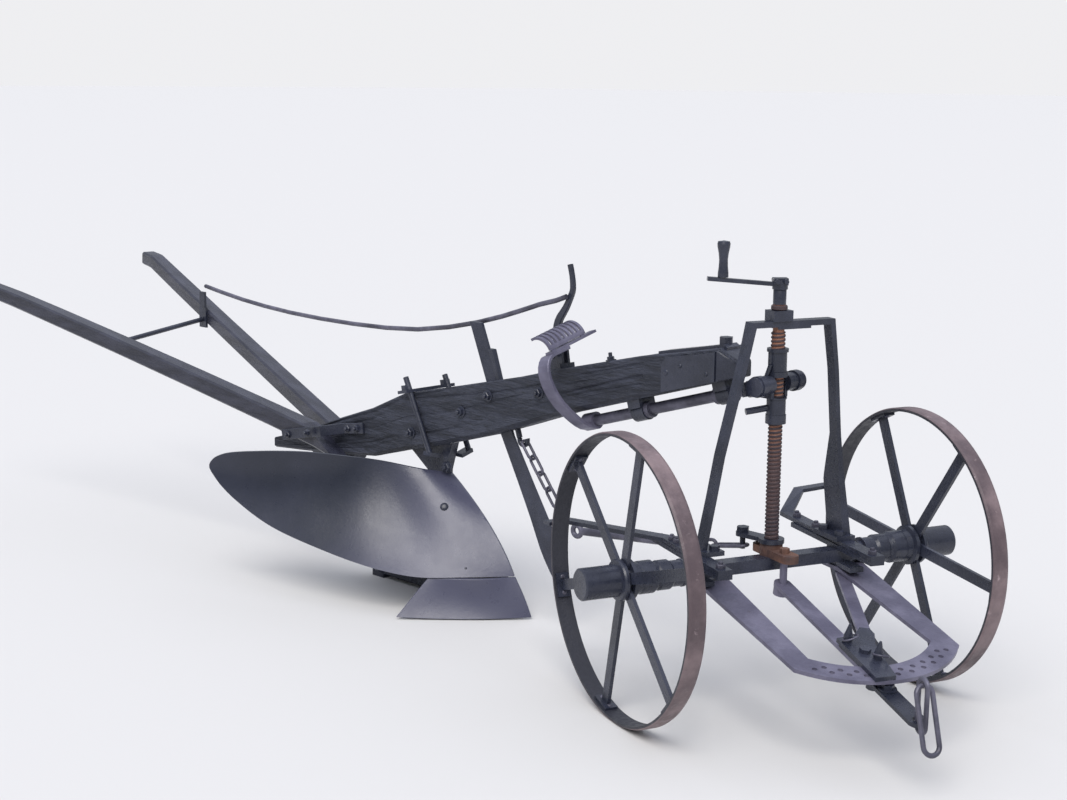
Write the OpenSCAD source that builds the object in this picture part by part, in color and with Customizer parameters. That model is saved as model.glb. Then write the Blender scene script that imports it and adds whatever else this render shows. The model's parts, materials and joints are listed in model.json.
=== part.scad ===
// Walking moldboard plough with a wooden beam and an iron two-wheeled forecarriage.
// Millimetres. +X runs forward along the beam, +Y to the left of the furrow, +Z up, ground at z = 0.
// The modules place everything from the foot of the height screw; the origin is then moved to the
// middle of the whole machine on the ground by origin_back and origin_left.

/* [Wheels] */
// Radius of each wheel over its rim
wheel_r = 300; // [280:1:310]
// Width of the rim
rim_w = 38; // [30:1:46]
// Thickness of the rim
rim_t = 8; // [6:1:10]
// Distance between the middles of the two rims
track = 708; // [690:1:730]
// Number of spokes in a wheel
spoke_count = 6; // [5:1:8]
// Width of a spoke
spoke_w = 24; // [18:1:28]
// Thickness of a spoke
spoke_t = 8; // [6:1:10]
// Radius of the axle's journals
journal_r = 17; // [15:0.5:19]

/* [Forecarriage] */
// How far the forecarriage stands turned to the right of the beam
steer_rest = 20; // [0:1:25]
// Height of the axle bar
axle_h = 26; // [22:1:30]
// Depth of the axle bar, front to back
axle_w = 36; // [30:1:40]
// Half length of the axle bar between its collars
axle_half = 212; // [205:1:216]
// Height of the arch's top
arch_top = 808; // [804:1:820]
// Width of the arch's flat bar at the top, front to back
arch_w = 28; // [26:1:30]
// How far the axle stands ahead of the screw
axle_ahead = 7.5; // [5:0.5:10]
// Turn of the clamps and scrapers on the axle
irons_skew = -5; // [-5:0.5:0]
// Sideways shift of the clamps and scrapers on the axle
irons_shift = -6; // [-8:1:0]
// Distance of the axle clamps from the middle of the axle
clamp_y = 173; // [168:1:176]
// Width of a clamp bar
clamp_w = 32; // [28:1:34]
// Thickness of a clamp bar
clamp_t = 10; // [8:1:10]

/* [Quadrant and hitch] */
// Thickness of the quadrant plate
quadrant_t = 8; // [6:1:10]
// Downward slope of the quadrant, in degrees
quadrant_slope = 12; // [11:0.5:13]
// Turn of the quadrant on the axle
quadrant_skew = -1; // [-2:0.5:0]
// Sideways shift of the quadrant on the axle
quadrant_shift = 16; // [14:1:18]
// Distance of the quadrant's bend from the axle
quadrant_bend = 20; // [20:1:24]
// Outer radius of the quadrant's curved band
band_r = 250; // [248:1:252]
// Width of the quadrant's curved band
band_w = 54; // [50:1:56]
// Radius of the holes in the band
band_hole_r = 5.5; // [4.5:0.5:6]
// Swing of the drawbar to the right, where it is pinned
drawbar_swing = -3; // [-3.5:0.5:-2.5]
// Width of the drawbar
drawbar_w = 36; // [32:1:38]
// Thickness of the drawbar
drawbar_t = 8; // [6:1:10]

/* [Height screw] */
// Radius of the height screw
screw_r = 15; // [14:0.5:16]
// Distance of the crank's grip from the screw
crank_len = 118; // [110:1:130]
// Direction of the crank arm at rest, in degrees
crank_angle = 248; // [220:1:270]

/* [Beam] */
// Width of the wooden beam
beam_w = 85; // [80:1:90]
// Height of the nut's trunnions, on the line of the levelling shaft
trunnion_z = 677; // [670:1:680]
// Slope of the levelling shaft under the beam, in degrees
shaft_slope = 16.5; // [15:0.5:17]
// Radius of the levelling shaft
shaft_r = 13; // [12:0.5:14]
// Distance from the shaft's axis to the underside of the beam
shaft_drop = 27; // [25:1:30]

/* [Handles] */
// Width of a handle
handle_w = 56; // [50:1:60]
// Depth of a handle
handle_h = 50; // [44:1:54]
// Sideways spread of each handle per length
handle_splay = 0.15; // [0.12:0.01:0.16]

/* [Plough body] */
// Thickness of the moldboard
mould_t = 7; // [6:1:9]
// Outer face of the landside, left of the middle
landside_y = 23; // [20:1:26]
// Thickness of the landside
landside_t = 8; // [6:1:10]
// Thickness of the cast frog
frog_t = 24; // [20:1:24]

/* [Placement] */
// Distance of the origin behind the screw
origin_back = 1135.2; // [1000:0.1:1250]
// Distance of the origin to the left of the screw
origin_left = -2.6; // [-100:0.1:100]

/* [Hidden] */
$fn = 64;
fit = 0.08;
axle_z = wheel_r;
axle_top = axle_z + axle_h / 2;
axle_low = axle_z - axle_h / 2;
deck_z = axle_top + 2 * clamp_t;
rim_y = track / 2;
hub_in = 219;
hub_out = 452;
beam_half = beam_w / 2;
beam_end = -1672;
nut_r = screw_r + 5;
frog_right = landside_y - landside_t - frog_t;
shin_y = frog_right - mould_t;
rod_r = 6;
shaft_rear = -525.5;
yoke_back = -74;
comb_roll = 13.5;
lever_y = 15;
crank_z = arch_top + 65;
band_x = 192;
hole_step = 8.2;

// Underside of the beam above the levelling shaft
function shaft_line(x) = trunnion_z + x * tan(shaft_slope) + shaft_drop / cos(shaft_slope);

// Sections of the beam: distance from the screw, underside, top, half width, lower chamfer, upper chamfer
BEAM = [[beam_end, 290, 318, beam_half, 6, 3], [-1557, 299, 350, beam_half, 6, 3],
    [-1384, 314.5, 413, beam_half, 8, 3], [-1253, 329.5, 457, beam_half, 10, 3],
    [-1127, 364.5, 512, beam_half, 12, 3], [-992, 399.5, 542, beam_half, 12, 3],
    [-849, 440.5, 575, beam_half, 12, 3], [-713, 486.5, 606, beam_half, 12, 3],
    [-583, shaft_line(-583), 641, beam_half, 12, 3], [-340, shaft_line(-340), 699, beam_half, 12, 3],
    [-300, shaft_line(-300), 706.6, beam_half, 3, 3], [-193, shaft_line(-193), 727, beam_half, 3, 3],
    [-125, shaft_line(-125), 741, beam_half, 3, 3], [-87, shaft_line(-87), 715, 24, 3, 3]];

// Moldboard stations from the shin to the wing: lower edge x y z, upper edge x y z, hollow, bulge forward
MOULD = [
    [-779, shin_y, 100, -1004, shin_y, 320, 0, 26],
    [-868, -92, 98, -1042, -60, 334, 12, 18],
    [-948, -165, 97, -1126, -120, 350, 26, 8],
    [-1043, -228, 114, -1200, -180, 360, 32, 0],
    [-1180, -272, 140, -1295, -235, 363, 30, 0],
    [-1335, -308, 176, -1400, -292, 356, 20, 0],
    [-1455, -333, 230, -1490, -332, 342, 8, 0],
    [-1528, -350, 284, -1540, -353, 317, 0, 0]];
// Share stations in the same columns, the upper edge along the seam
SHARE = [
    [-726, 16, 6, -777, shin_y, 97, 0, 4],
    [-800, -70, 3, -824, -60, 96, 6, 0],
    [-878, -150, 3, -872, -100, 95, 6, 0],
    [-952, -222, 6, -926, -142, 94, 2, 0]];

function unit(v) = v / norm(v);
function mix(a, b, t) = a + (b - a) * t;
function beam_low_z(x) = lookup(x, [for (r = BEAM) [r[0], r[1]]]);
function beam_top_z(x) = lookup(x, [for (r = BEAM) [r[0], r[2]]]);
function tangent(path, i) = unit(path[min(i + 1, len(path) - 1)] - path[max(i - 1, 0)]);

// Smooth value between stations i and i + 1 of a table
function smooth(rows, i, t) =
    let (a = rows[max(i - 1, 0)], b = rows[i], c = rows[i + 1], d = rows[min(i + 2, len(rows) - 1)])
    0.5 * (2 * b + (c - a) * t + (2 * a - 5 * b + 4 * c - d) * t * t + (3 * b - a - 3 * c + d) * t * t * t);

// Rows of a table with extra smooth rows between its stations
function refined(rows, steps) = [
    for (i = [0 : len(rows) - 2]) for (k = [0 : steps - 1]) smooth(rows, i, k / steps),
    rows[len(rows) - 1]];

// Outlines for bars that are carried along a path, counter-clockwise about its direction
function flat_outline(w, h, c = 1.5) = [
    [w / 2, c - h / 2], [w / 2, h / 2 - c], [w / 2 - c, h / 2], [c - w / 2, h / 2],
    [-w / 2, h / 2 - c], [-w / 2, c - h / 2], [c - w / 2, -h / 2], [w / 2 - c, -h / 2]];
function round_outline(r, n = 12) = [for (k = [0 : n - 1]) [r * cos(360 * k / n), r * sin(360 * k / n)]];

// Skin over rings of the same even count, with closed ends
module loft(rings) {
    n = len(rings[0]);
    m = len(rings);
    points = [for (ring = rings) for (p = ring) p];
    skin = [
        for (i = [0 : m - 2]) for (j = [0 : n - 1]) each
            let (a = i * n + j, b = i * n + (j + 1) % n, c = b + n, d = a + n)
            [[a, d, c], [a, c, b]]];
    base = (m - 1) * n;
    first = [for (k = [0 : n / 2 - 2]) each [[k, k + 1, n - 2 - k], [k, n - 2 - k, n - 1 - k]]];
    last = [for (f = first) [base + f[2], base + f[1], base + f[0]]];
    polyhedron(points, concat(first, skin, last));
}

// Bar whose outline is carried along a path, one outline for each point or one for all
module sweep(path, outlines, hint = [0, 0, 1]) {
    loft([
        for (i = [0 : len(path) - 1])
            let (t = tangent(path, i), side = unit(cross(hint, t)), up = cross(t, side))
            [for (q = outlines[min(i, len(outlines) - 1)]) path[i] + side * q[0] + up * q[1]]]);
}

// Places its children at p with their +X towards q
module aim(p, q) {
    d = q - p;
    translate(p)
        rotate([0, -asin(d[2] / norm(d)), atan2(d[1], d[0])])
            children();
}

// Straight round rod between two points
module rod(p, q, r) {
    aim(p, q)
        rotate([0, 90, 0])
            cylinder(h = norm(q - p), r = r);
}

// Straight flat bar between two points: w across, t thick
module flat(p, q, w, t) {
    aim(p, q)
        translate([0, -w / 2, -t / 2])
            cube([norm(q - p), w, t]);
}

// Cylinder along Y from y0 to y1
module across(y0, y1, r) {
    translate([0, y0, 0])
        rotate([-90, 0, 0])
            cylinder(h = y1 - y0, r = r);
}

// Side profile in X and Z, extruded across from y0 to y1
module side_plate(y0, y1, points) {
    translate([0, y1, 0])
        rotate([90, 0, 0])
            linear_extrude(y1 - y0)
                polygon(points);
}

// Hexagon head or nut standing on the z = 0 plane, s across its flats
module hex(s, h) {
    cylinder(h = h, r = s / sqrt(3), $fn = 6);
}

// Closed loop of round wire along a path of X and Z values
module wire_loop(path, r) {
    n = len(path);
    sides = 10;
    points = [
        for (i = [0 : n - 1])
            let (d = path[(i + 1) % n] - path[(i + n - 1) % n], out = unit([d[1], -d[0]]))
            for (q = round_outline(r, sides))
                [path[i][0] + q[0] * out[0], q[1], path[i][1] + q[0] * out[1]]];
    polyhedron(points, [
        for (i = [0 : n - 1]) for (j = [0 : sides - 1]) each
            let (a = i * sides + j, b = i * sides + (j + 1) % sides)
            let (c = (i + 1) % n * sides + (j + 1) % sides, d = (i + 1) % n * sides + j)
            [[a, c, b], [a, d, c]]]);
}

// Chain link in the XZ plane: pitch along X between the insides of its bows
module link(pitch, gap, r) {
    bow = gap / 2 + r;
    straight = (pitch - gap) / 2;
    turns = 12;
    wire_loop([
        for (side = [1, -1]) for (k = [0 : turns])
            let (a = 180 * k / turns - 90 * side)
            [side * straight + bow * cos(a), bow * sin(a)]], r);
}

// The plough's own frame, moved so that the origin lies on the ground at the machine's middle
module plough_frame() {
    translate([origin_back, -origin_left, 0])
        children();
}

// Forecarriage frame: X forward across the axle, Y along the axle, origin under the screw
module carriage_frame() {
    plough_frame()
        rotate([0, 0, -steer_rest])
            children();
}

// Frame of the axle and all that is fixed to it, a little ahead of the screw
module axle_frame() {
    carriage_frame()
        translate([axle_ahead, 0, 0])
            children();
}

// Frame of the clamps and scrapers
module irons_frame() {
    axle_frame()
        translate([0, irons_shift, 0])
            rotate([0, 0, irons_skew])
                children();
}

// Frame of the quadrant, before and after its bend ahead of the axle
module quadrant_foot_frame() {
    axle_frame()
        translate([0, quadrant_shift, axle_low - clamp_t])
            rotate([0, 0, quadrant_skew])
                children();
}

module quadrant_frame() {
    quadrant_foot_frame()
        translate([quadrant_bend, 0, 0])
            rotate([0, quadrant_slope, 0])
                children();
}

// Frame of the drawbar, which is pinned under the quadrant
module drawbar_frame() {
    quadrant_frame()
        translate([23.3, -15.3, 0])
            rotate([0, 0, drawbar_swing])
                children();
}

// Frame of the levelling shaft: X along the shaft, origin between the trunnions
module shaft_frame() {
    plough_frame()
        translate([0, 0, trunnion_z])
            rotate([0, -shaft_slope, 0])
                children();
}

// Wheel frame: Y along the axle, origin in the middle of the rim; side is 1 on the left
module wheel_frame(side) {
    axle_frame()
        translate([0, side * rim_y, axle_z])
            children();
}

module rim(side) {
    wheel_frame(side)
        rotate([90, 0, 0])
            rotate_extrude($fn = 120)
                polygon([[wheel_r - rim_t, -rim_w / 2], [wheel_r - 2, -rim_w / 2], [wheel_r, 5 - rim_w / 2],
                    [wheel_r, rim_w / 2 - 5], [wheel_r - 2, rim_w / 2], [wheel_r - rim_t, rim_w / 2]]);
}

// Flat spokes, each with a foot that is bolted inside the rim
module spokes(side, first_angle) {
    foot_w = 28;
    foot_t = 5;
    foot_len = 52;
    hub_seat = 30;
    inner = wheel_r - rim_t;
    wheel_frame(side)
        for (k = [0 : spoke_count - 1])
            rotate([0, -first_angle - 360 * k / spoke_count, 0])
                intersection() {
                    union() {
                        translate([hub_seat, -spoke_t / 2, -spoke_w / 2])
                            cube([inner - hub_seat, spoke_t, spoke_w]);
                        translate([inner - foot_t - 2, -foot_w / 2, -foot_len / 2])
                            cube([foot_t + 2, foot_w, foot_len]);
                    }
                    across(-foot_w, foot_w, inner);
                }
}

// Hub turned about the axle: distance from the wheel's middle, radius
module hub(side) {
    wall = hub_out - rim_y;
    inner = hub_in - rim_y;
    spoke_hub_r = 30;
    wheel_frame(side)
        difference() {
            rotate([-90 * side, 0, 0])
                rotate_extrude()
                    polygon([[0, wall], [30, wall], [33, wall - 3], [33, 18], [41, 16], [43, 12],
                        [43, 6], [spoke_hub_r, 5], [spoke_hub_r, -5], [43, -6], [43, -14], [35, -17],
                        [33, -30], [34, -34], [34, -62], [30, -66], [28, -72], [31, -76], [31, -100],
                        [27, -106], [27, inner + 6], [29, inner + 4], [29, inner], [journal_r + fit, inner],
                        [journal_r + fit, wall - 12], [0, wall - 12]]);
        }
}

module axle() {
    collar_r = 22.5;
    journal_end = hub_out - 14;
    axle_frame() {
        translate([-axle_w / 2, -axle_half, axle_low])
            cube([axle_w, 2 * axle_half, axle_h]);
        for (side = [-1, 1])
            translate([0, 0, axle_z])
                scale([1, side, 1]) {
                    across(axle_half - 2, hub_in - 1, collar_r);
                    across(axle_half, journal_end, journal_r);
                }
    }
}

// Middle line of the arch: sideways, height, thickness
ARCH = [[-172, deck_z, 12], [-148.5, 448, 10], [-132, 535, 10], [-98, 669, 10], [-79, 742, 10],
    [-66, arch_top - 6, 12], [124, arch_top - 6, 12], [138, 700, 10], [150, 560, 10], [159, 470, 14],
    [179.5, deck_z, 20]];

function arch_at(i) = [ARCH[i][0], ARCH[i][1]];

// Point on one edge of the arch beside row i, mitred at the corners
function arch_edge(i, side) =
    let (n = len(ARCH) - 1, before = unit(arch_at(max(i, 1)) - arch_at(max(i - 1, 0))),
        after = unit(arch_at(min(i + 1, n)) - arch_at(min(i, n - 1))),
        out = unit([before[1] + after[1], -before[0] - after[0]]))
    arch_at(i) + out * side * ARCH[i][2] / 2 / (out * [after[1], -after[0]]);

// Bent flat bar over the axle that holds the head of the screw
module arch() {
    n = len(ARCH) - 1;
    deep = 43;
    carriage_frame()
        difference() {
            union() {
                intersection() {
                    rotate([90, 0, 90])
                        translate([0, 0, -60])
                            linear_extrude(120)
                                polygon(concat([for (i = [0 : n]) arch_edge(i, 1)], [for (i = [n : -1 : 0]) arch_edge(i, -1)]));
                    union() {
                        side_plate(-260, 0, [[-arch_w / 2, deck_z], [-arch_w / 2, 820], [arch_w / 2, 820],
                            [arch_w / 2, deck_z]]);
                        side_plate(0, 260, [[-deep, deck_z], [-deep, 455], [-arch_w / 2, 560], [-arch_w / 2, 820],
                            [arch_w / 2, 820], [arch_w / 2, 560], [16, 455], [16, deck_z]]);
                    }
                }
                translate([-arch_w / 2, -8, arch_top - 17])
                    cube([arch_w, 78, 10]);
                for (foot = [[ARCH[0][0] - 8, ARCH[0][0] + 22], [ARCH[n][0] - 38, ARCH[n][0] - 22]]) {
                    translate([-54, foot[0], deck_z])
                        cube([88, 46, 10]);
                    for (x = [-40, 20])
                        translate([x, foot[1], deck_z + 9])
                            hex(19, 11);
                }
            }
            translate([0, 0, arch_top - 20])
                cylinder(h = 24, r = screw_r - 3 + fit);
        }
}

// Block on the arch that carries the head of the screw
module arch_bearing() {
    carriage_frame()
        difference() {
            translate([-18, -23, arch_top])
                cube([36, 46, 22]);
            translate([0, 0, arch_top - 1])
                cylinder(h = 30, r = screw_r - 3 + fit);
        }
}

// Cast foot on the axle that holds the lower end of the screw and, ahead of the axle, the drawbar's bolt
module screw_foot() {
    carriage_frame()
        difference() {
            union() {
                translate([0, 0, axle_top])
                    cylinder(h = 26, r = screw_r + 9);
                translate([0, 0, axle_top])
                    linear_extrude(16)
                        hull()
                            for (x = [-36, 70])
                                translate([x, 0])
                                    circle(r = 19, $fn = 32);
                for (x = [-39, 51])
                    translate([x, 0, axle_top + 15])
                        hex(19, 11);
            }
            translate([0, 0, axle_top + 4])
                cylinder(h = 40, r = screw_r - 5 + fit);
        }
}

// Long bar over the axle, short bar under it and the nut below the quadrant's foot
module axle_clamp(side) {
    front = 140;
    back = -205;
    short = 60;
    irons_frame() {
        translate([back, side * clamp_y - clamp_w / 2, axle_top])
            cube([front - back, clamp_w, clamp_t]);
        translate([-short, side * clamp_y - clamp_w / 2, axle_low - clamp_t])
            cube([2 * short, clamp_w, clamp_t]);
        translate([-3.5, side * (clamp_y - 10), axle_low - clamp_t - quadrant_t - 10])
            hex(19, 10);
    }
}

// Middle line of each scraper: forward, sideways, height above the upper clamp bar
SCRAPER_RIGHT = [[140, -173, 5], [-140, -173, 5], [-301, -337, 18], [-292, -393, 20]];
SCRAPER_LEFT = [[140, 173, 5], [-267, 179, 5], [-326, 240, 41], [-344, 329, 43]];

// Scraper: flat arm on the clamp, bent outward to a blade behind the rim
module scraper(side) {
    path = [for (p = side < 0 ? SCRAPER_RIGHT : SCRAPER_LEFT) p + [0, 0, axle_top + clamp_t]];
    irons_frame()
        sweep(path, [flat_outline(clamp_w, 10, 0.5), flat_outline(clamp_w, 10, 0.5), flat_outline(27, 9, 0.5),
            flat_outline(26, 8, 0.5)]);
}

// Flat U-shaped plate with two staggered rows of holes for the draught
module quadrant() {
    foot = [131, 201];
    corner = [356, 189.5];
    knee = [328, 142];
    bend_back = -44;
    outer = acos((corner[0] - band_x) / band_r);
    inner = acos((knee[0] - band_x) / (band_r - band_w));
    steps = 16;
    plate = concat([[0, -foot[1]], [corner[0], -corner[1]]],
        [for (k = [0 : 2 * steps]) arc_point(band_r, mix(-outer, outer, k / 2 / steps))],
        [[corner[0], corner[1]], [0, foot[1]], [0, foot[0]], [knee[0], knee[1]]],
        [for (k = [0 : 2 * steps]) arc_point(band_r - band_w, mix(inner, -inner, k / 2 / steps))],
        [[knee[0], -knee[1]], [0, -foot[0]]]);
    quadrant_foot_frame()
        for (side = [-1, 1])
            scale([1, side, 1])
                translate([bend_back, foot[0], -quadrant_t])
                    cube([quadrant_bend - bend_back, foot[1] - foot[0], quadrant_t]);
    quadrant_frame()
        translate([0, 0, -quadrant_t])
            difference() {
                linear_extrude(quadrant_t)
                    polygon(plate);
                for (row = [[band_r - 20, 11, 0], [band_r - 34, 10, 0.5]])
                    for (k = [0 : row[1] - 1])
                        rotate_about([band_x, 0], (k + row[2] - 5) * hole_step)
                            translate([row[0], 0, -1])
                                cylinder(h = quadrant_t + 2, r = band_hole_r, $fn = 24);
            }
}

// Point on the band at an angle from its middle
function arc_point(r, a) = [band_x + r * cos(a), r * sin(a)];

module rotate_about(centre, angle) {
    translate([centre[0], centre[1], 0])
        rotate([0, 0, angle])
            children();
}

// Drawbar under the quadrant, with its boss and the bolt up to the screw's foot
module drawbar() {
    length = 384;
    drawbar_frame() {
        translate([0, 0, -quadrant_t - drawbar_t])
            difference() {
                union() {
                    cylinder(h = drawbar_t, r = drawbar_w / 2);
                    translate([0, -drawbar_w / 2, 0])
                        cube([length, drawbar_w, drawbar_t]);
                }
                translate([300, 0, -1])
                    cylinder(h = drawbar_t + 2, r = 6, $fn = 24);
            }
        translate([0, 0, -quadrant_t - drawbar_t - 18])
            cylinder(h = 19, r = 17);
        translate([362, 4, -quadrant_t - drawbar_t - 8])
            cylinder(h = 9, r = 13);
    }
    carriage_frame()
        translate([50, 0, axle_low - 30])
            cylinder(h = axle_h + 30, r = 8);
}

// Strut from the left foot of the quadrant to the drawbar's block
module drawbar_strut() {
    drawbar_frame()
        flat([-25, 156, -13.8], [258, 50, -4.4], 27, 7);
}

// Block that locks the drawbar to the band; a lobe on its left takes the strut
module drawbar_block() {
    drawbar_frame() {
        linear_extrude(9)
            polygon([[262, -22], [416, -25], [416, 19], [356, 30], [300, 42], [262, 63], [240, 64], [232, 46],
                [262, 16]]);
        translate([268, -18, -quadrant_t])
            cube([84, 36, quadrant_t + 1]);
        translate([323, 5, 8.5])
            hex(20, 9);
    }
}

// Two pointed draught pins in the block
module draught_pins() {
    drawbar_frame()
        for (p = [[277, -7], [351, 17]])
            translate([p[0], p[1], 9]) {
                cylinder(h = 13, r = 9);
                translate([0, 0, 13])
                    cylinder(h = 24, r1 = 8.5, r2 = 2.5, $fn = 32);
            }
}

// Height of the tongue's underside in the drawbar's frame, and the place of its eye
tongue_z = -32;
eye_at = [516, 9, tongue_z + 4];

// Tongue under the front of the band
module hitch_tongue() {
    drawbar_frame()
        difference() {
            union() {
                translate([350, eye_at[1] - 19, tongue_z])
                    cube([eye_at[0] - 350, 38, 8]);
                translate([eye_at[0], eye_at[1], tongue_z])
                    cylinder(h = 8, r = 19);
                translate([408, 10, tongue_z + 7])
                    cylinder(h = 4, r = 18.5);
                translate([408, 10, tongue_z + 11])
                    hex(22, 9);
                translate([368, 4, tongue_z - 12])
                    cylinder(h = 13, r = 12);
            }
            translate([eye_at[0], eye_at[1], tongue_z - 1])
                cylinder(h = 11, r = 9);
        }
}

// Upright frame in the eye of the tongue
module eye_frame() {
    drawbar_frame()
        translate(eye_at)
            rotate([0, -quadrant_slope, 0])
                children();
}

// Stirrup that stands in the eye, one leg through it and one in front of the tongue's end
module hitch_stirrup() {
    eye_frame()
        translate([14, 0, 34])
            rotate([0, 90, 0])
                link(92, 18, 5);
}

// Long link that hangs in the top of the stirrup
module hitch_link() {
    pitch = 117;
    eye_frame()
        translate([14, 0, 74])
            rotate([0, 70.7, 0])
                rotate([90, 0, 0])
                    translate([pitch / 2 + 5, 0, 0])
                        link(pitch, 24, 5);
}

// Height screw from the foot to the crank; its thread is left smooth
module screw() {
    foot_end = axle_top + 6;
    thread_low = axle_top + 27;
    thread_top = arch_top - 22;
    carriage_frame() {
        translate([0, 0, foot_end])
            cylinder(h = thread_low - foot_end + 1, r = screw_r - 5);
        translate([0, 0, thread_low])
            cylinder(h = thread_top - thread_low, r = screw_r);
        translate([0, 0, thread_top - 1])
            cylinder(h = crank_z - thread_top + 1, r = screw_r - 3);
        translate([0, 0, arch_top + 22.5])
            cylinder(h = 10, r = screw_r + 2);
    }
}

// Crank arm with its pinch bolts
module crank_arm() {
    carriage_frame()
        translate([0, 0, crank_z])
            rotate([0, 0, crank_angle]) {
                cylinder(h = 20, r = screw_r + 1);
                flat([8, 0, 10], [150, 0, 21], 16, 8);
                for (x = [-9, 9])
                    translate([x, -24, 17])
                        across(0, 48, 5);
                translate([-15, -13, 9])
                    cube([30, 26, 14]);
            }
}

// Turned handgrip on the crank
module crank_grip() {
    carriage_frame()
        translate([0, 0, crank_z])
            rotate([0, 0, crank_angle])
                translate([crank_len, 0, 24])
                    rotate_extrude()
                        polygon([[0, 0], [11, 0], [11, 8], [9.5, 22], [9, 36], [10.5, 50], [13, 62], [13.5, 68], [12, 73], [0, 75]]);
}

// Nut on the screw: flared upper collar, two cheeks with trunnions, window, lower collar with horn
module nut() {
    // Heights from the trunnions: bottom, top, radius
    collars = [[-83, -64, nut_r + 1.5], [-65, -30, nut_r], [-31, -27, nut_r + 2], [15, 26, nut_r + 2],
        [25, 68, nut_r - 0.5], [67, 74, nut_r + 2.5]];
    window = [-28, 15];
    plough_frame()
        translate([0, 0, trunnion_z])
            difference() {
                union() {
                    for (c = collars)
                        translate([0, 0, c[0]])
                            cylinder(h = c[1] - c[0], r = c[2]);
                    translate([-nut_r, -27, window[0] - 1])
                        cube([nut_r + 8, 54, window[1] - window[0] + 2]);
                    for (side = [-1, 1])
                        scale([1, side, 1]) {
                            across(24, 51.5, 19);
                            across(51, 68.3, 12);
                        }
                    rod([-8, -10, -50], [-38, -52, -58], 7);
                    rod([-8, -28, 12], [0, -23, 42], 4.5);
                }
                translate([0, 0, -90])
                    cylinder(h = 180, r = screw_r + fit);
                translate([-4, -18, window[0]])
                    cube([40, 36, window[1] - window[0]]);
            }
}

// Fork on the front end of the levelling shaft that carries the nut's trunnions
module yoke() {
    inner = 52;
    arm = 16;
    bar = 14;
    shaft_frame()
        difference() {
            union() {
                for (side = [-1, 1])
                    scale([1, side, 1])
                        across(inner, inner + arm, 22);
                intersection() {
                    union() {
                        translate([-54, -inner - arm, -15])
                            cube([bar, 2 * (inner + arm), 30]);
                        for (side = [-1, 1])
                            scale([1, side, 1])
                                translate([-46, inner, -15])
                                    cube([46, arm, 30]);
                    }
                    translate([0, 0, -20])
                        cylinder(h = 40, r = 74.5);
                }
                translate([yoke_back, 0, 0])
                    rotate([0, 90, 0])
                        cylinder(h = 18, r = 18);
            }
            across(-90, 90, 12 + fit);
            translate([yoke_back - 1, 0, 0])
                rotate([0, 90, 0])
                    cylinder(h = 34, r = shaft_r - 2);
        }
}

// Cotter discs on the ends of the trunnions
module trunnion_caps() {
    plough_frame()
        translate([0, 0, trunnion_z]) {
            across(68.4, 75, 20);
            across(-75, -68.4, 20);
        }
}

// Shaft under the beam on which the whole plough tilts
module level_shaft() {
    shaft_frame() {
        translate([shaft_rear, 0, 0])
            rotate([0, 90, 0])
                cylinder(h = yoke_back - 0.3 - shaft_rear, r = shaft_r);
        translate([yoke_back - 1, 0, 0])
            rotate([0, 90, 0])
                cylinder(h = 22, r = shaft_r - 2 - fit);
        for (x = [-363.5, -162.5])
            translate([x, 0, 0])
                rotate([0, 90, 0])
                    cylinder(h = 12, r = shaft_r + 6);
    }
}

// Frame of the comb: rolled about the shaft, origin at the low right corner of its front
module comb_frame() {
    shaft_frame()
        translate([-571, -96, 173])
            rotate([comb_roll, 0, 0])
                children();
}

// Room that the comb's strip takes
module comb_strip(extra) {
    translate([20 - extra, -2 - extra, -9 - extra])
        cube([22 + 2 * extra, 158 + 2 * extra, 6 + 2 * extra]);
}

// Hooked flat arm that carries the notched comb round the right side of the beam
module level_arm() {
    // Middle of the arm across the shaft: sideways, height
    curve = [[8, -15], [-24, -9], [-56, 13], [-92, 50], [-114, 90], [-120, 126], [-111, 150], [-96, 161],
        [-76, 166], [-40, 174.5]];
    arm_x = shaft_rear - 17.5;
    dense = refined([for (q = curve) [arm_x, q[0], q[1]]], 2);
    difference() {
        shaft_frame() {
            sweep(dense, [flat_outline(9, 34)], [1, 0, 0]);
            translate([shaft_rear - 33, 0, 0])
                rotate([0, 90, 0])
                    cylinder(h = 33, r = shaft_r + 7);
        }
        comb_frame()
            translate([-40, -20, -9])
                cube([120, 200, 40]);
    }
}

// Rounded comb with slots that the lever drops into, on a strip
module level_comb() {
    r_out = 38;
    wall = 6;
    length = 124;
    slot = 7;
    slots = 8;
    pitch = 14.5;
    steps = 14;
    comb_frame() {
        difference() {
            side_plate(0, length, concat(
                [for (a = [0 : steps]) r_out * [cos(106 * a / steps), sin(106 * a / steps)]],
                [for (a = [steps : -1 : 0]) (r_out - wall) * [cos(106 * a / steps), sin(106 * a / steps)]]));
            for (k = [0 : slots - 1])
                translate([-10, 8 + pitch * k, 10])
                    cube([60, slot, 40]);
        }
        comb_strip(0);
        for (y = [4, length - 16])
            translate([r_out - wall + 0.5, y, -4])
                cube([wall - 1, 12, 5]);
    }
}

// Wooden beam, curved down to the back: chamfered below, tapered to the nose, with a mortise for the coulter
module beam() {
    plough_frame()
        difference() {
            loft([
                for (r = BEAM)
                    let (x = r[0], low = r[1], top = r[2], h = r[3], a = r[4], b = r[5])
                    [[x, h, low + a], [x, h, top - b], [x, h - b, top], [x, b - h, top],
                    [x, -h, top - b], [x, -h, low + a], [x, a - h, low], [x, h - a, low]]]);
            side_plate(-8.5, 8.5, [
                [shank_x(720) - shank_half(720) - 1, 720], [shank_x(430) - shank_half(430) - 1, 430],
                [shank_x(430) + shank_half(430) + wedge_room(430), 430],
                [shank_x(720) + shank_half(720) + wedge_room(720), 720]]);
        }
}

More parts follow.
